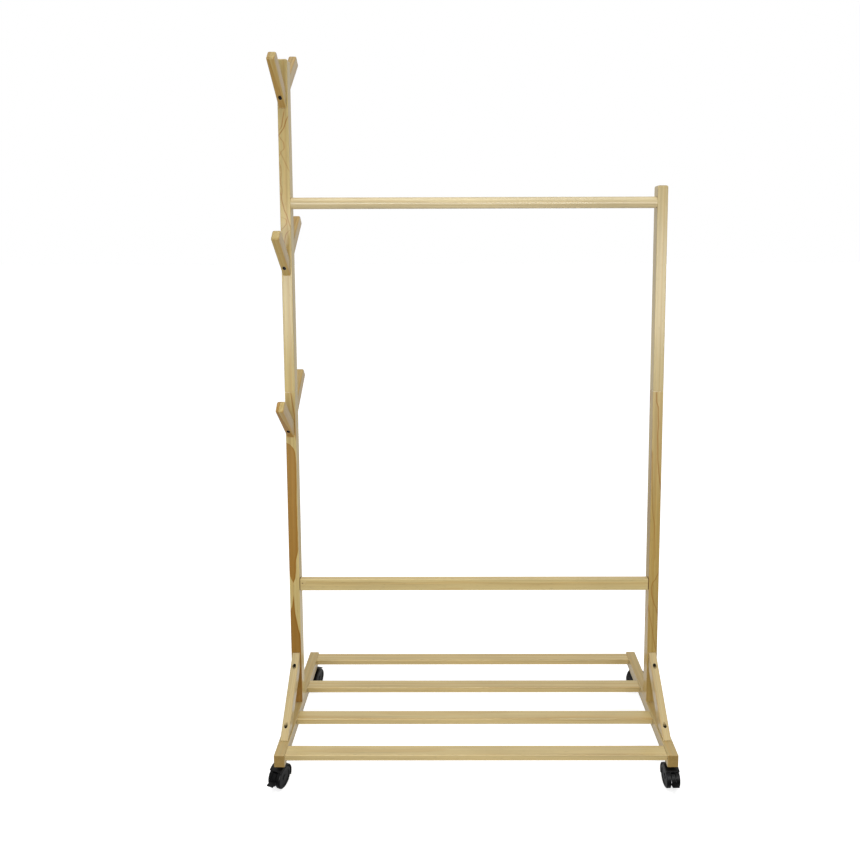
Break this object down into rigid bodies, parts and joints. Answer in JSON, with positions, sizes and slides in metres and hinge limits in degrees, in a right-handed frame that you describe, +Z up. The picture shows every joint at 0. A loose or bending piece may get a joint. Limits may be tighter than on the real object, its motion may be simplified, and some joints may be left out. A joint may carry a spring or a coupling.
{
  "type": "rolling clothes rack",
  "caption": "Natural pine rolling clothes rack: hanging rod between a short post and a tall post with angled coat pegs, slatted shoe shelf and braked twin-wheel casters.",
  "frame": {"origin": "on the floor, midway between the four caster stems", "axes": "+X to the right along the rod, -Y is the front (braces and braked casters), +Z up; the tall peg post stands at -X"},
  "size_m": [1.0461, 0.4434, 1.8553],
  "materials": {
    "pine": "clear satin lacquer",
    "beech": "raw",
    "zinc_steel": "zinc plated",
    "black_steel": "blackened",
    "black_nylon": "satin"
  },
  "bodies": {
    "frame": {"left_foot_rail": "pine", "right_foot_rail": "pine", "left_lower_post": "pine", "right_lower_post": "pine", "left_upper_post": "pine", "right_upper_post": "pine", "left_brace": "pine", "right_brace": "pine", "front_slat": "pine", "inner_front_slat": "pine", "inner_back_slat": "pine", "back_slat": "pine", "cross_rail": "pine", "hanging_rod": "pine", "front_top_peg": "pine", "front_middle_peg": "pine", "front_lower_peg": "pine", "back_top_peg": "pine", "back_middle_peg": "pine", "back_lower_peg": "pine", "peg_screws": "black_steel", "brace_screws": "black_steel", "slat_screws": "zinc_steel", "rod_screws": "zinc_steel", "rail_screws": "zinc_steel", "foot_bolts": "zinc_steel", "post_joint_screws": "zinc_steel", "caster_sockets": "zinc_steel", "slat_dowels": "beech", "rail_dowels": "beech", "front_left_stem": "zinc_steel", "front_right_stem": "zinc_steel", "back_left_stem": "zinc_steel", "back_right_stem": "zinc_steel"},
    "front_left_caster": {"front_left_hood": "black_nylon", "front_left_axle": "zinc_steel", "front_left_lever_pin": "zinc_steel"},
    "front_left_wheel_a": {"front_left_wheel_a": "black_nylon"},
    "front_left_wheel_b": {"front_left_wheel_b": "black_nylon"},
    "front_left_brake": {"front_left_brake_lever": "black_nylon"},
    "front_right_caster": {"front_right_hood": "black_nylon", "front_right_axle": "zinc_steel", "front_right_lever_pin": "zinc_steel"},
    "front_right_wheel_a": {"front_right_wheel_a": "black_nylon"},
    "front_right_wheel_b": {"front_right_wheel_b": "black_nylon"},
    "front_right_brake": {"front_right_brake_lever": "black_nylon"},
    "back_left_caster": {"back_left_hood": "black_nylon", "back_left_axle": "zinc_steel"},
    "back_left_wheel_a": {"back_left_wheel_a": "black_nylon"},
    "back_left_wheel_b": {"back_left_wheel_b": "black_nylon"},
    "back_right_caster": {"back_right_hood": "black_nylon", "back_right_axle": "zinc_steel"},
    "back_right_wheel_a": {"back_right_wheel_a": "black_nylon"},
    "back_right_wheel_b": {"back_right_wheel_b": "black_nylon"}
  },
  "joints": [
    {"name": "front_left_swivel", "type": "hinge", "parent": "frame", "child": "front_left_caster", "pos_m": [-0.4865, -0.171, 0.03], "axis": [0, 0, 1], "continuous": true},
    {"name": "front_left_wheel_a_spin", "type": "hinge", "parent": "front_left_caster", "child": "front_left_wheel_a", "pos_m": [-0.49231, -0.18698, 0.025], "axis": [0.9397, -0.342, 0], "continuous": true},
    {"name": "front_left_wheel_b_spin", "type": "hinge", "parent": "front_left_caster", "child": "front_left_wheel_b", "pos_m": [-0.49231, -0.18698, 0.025], "axis": [0.9397, -0.342, 0], "continuous": true},
    {"name": "front_left_brake", "type": "hinge", "parent": "front_left_caster", "child": "front_left_brake", "pos_m": [-0.49553, -0.1958, 0.04266], "axis": [0.9397, -0.342, 0], "range_deg": [0, 10]},
    {"name": "front_right_swivel", "type": "hinge", "parent": "frame", "child": "front_right_caster", "pos_m": [0.4865, -0.171, 0.03], "axis": [0, 0, 1], "continuous": true},
    {"name": "front_right_wheel_a_spin", "type": "hinge", "parent": "front_right_caster", "child": "front_right_wheel_a", "pos_m": [0.48709, -0.18799, 0.025], "axis": [0.9994, 0.0349, 0], "continuous": true},
    {"name": "front_right_wheel_b_spin", "type": "hinge", "parent": "front_right_caster", "child": "front_right_wheel_b", "pos_m": [0.48709, -0.18799, 0.025], "axis": [0.9994, 0.0349, 0], "continuous": true},
    {"name": "front_right_brake", "type": "hinge", "parent": "front_right_caster", "child": "front_right_brake", "pos_m": [0.48742, -0.19737, 0.04266], "axis": [0.9994, 0.0349, 0], "range_deg": [0, 10]},
    {"name": "back_left_swivel", "type": "hinge", "parent": "frame", "child": "back_left_caster", "pos_m": [-0.4865, 0.171, 0.03], "axis": [0, 0, 1], "continuous": true},
    {"name": "back_left_wheel_a_spin", "type": "hinge", "parent": "back_left_caster", "child": "back_left_wheel_a", "pos_m": [-0.48181, 0.18734, 0.025], "axis": [-0.9613, 0.2756, 0], "continuous": true},
    {"name": "back_left_wheel_b_spin", "type": "hinge", "parent": "back_left_caster", "child": "back_left_wheel_b", "pos_m": [-0.48181, 0.18734, 0.025], "axis": [-0.9613, 0.2756, 0], "continuous": true},
    {"name": "back_right_swivel", "type": "hinge", "parent": "frame", "child": "back_right_caster", "pos_m": [0.4865, 0.171, 0.03], "axis": [0, 0, 1], "continuous": true},
    {"name": "back_right_wheel_a_spin", "type": "hinge", "parent": "back_right_caster", "child": "back_right_wheel_a", "pos_m": [0.50151, 0.17898, 0.025], "axis": [-0.4695, 0.8829, 0], "continuous": true},
    {"name": "back_right_wheel_b_spin", "type": "hinge", "parent": "back_right_caster", "child": "back_right_wheel_b", "pos_m": [0.50151, 0.17898, 0.025], "axis": [-0.4695, 0.8829, 0], "continuous": true}
  ]
}
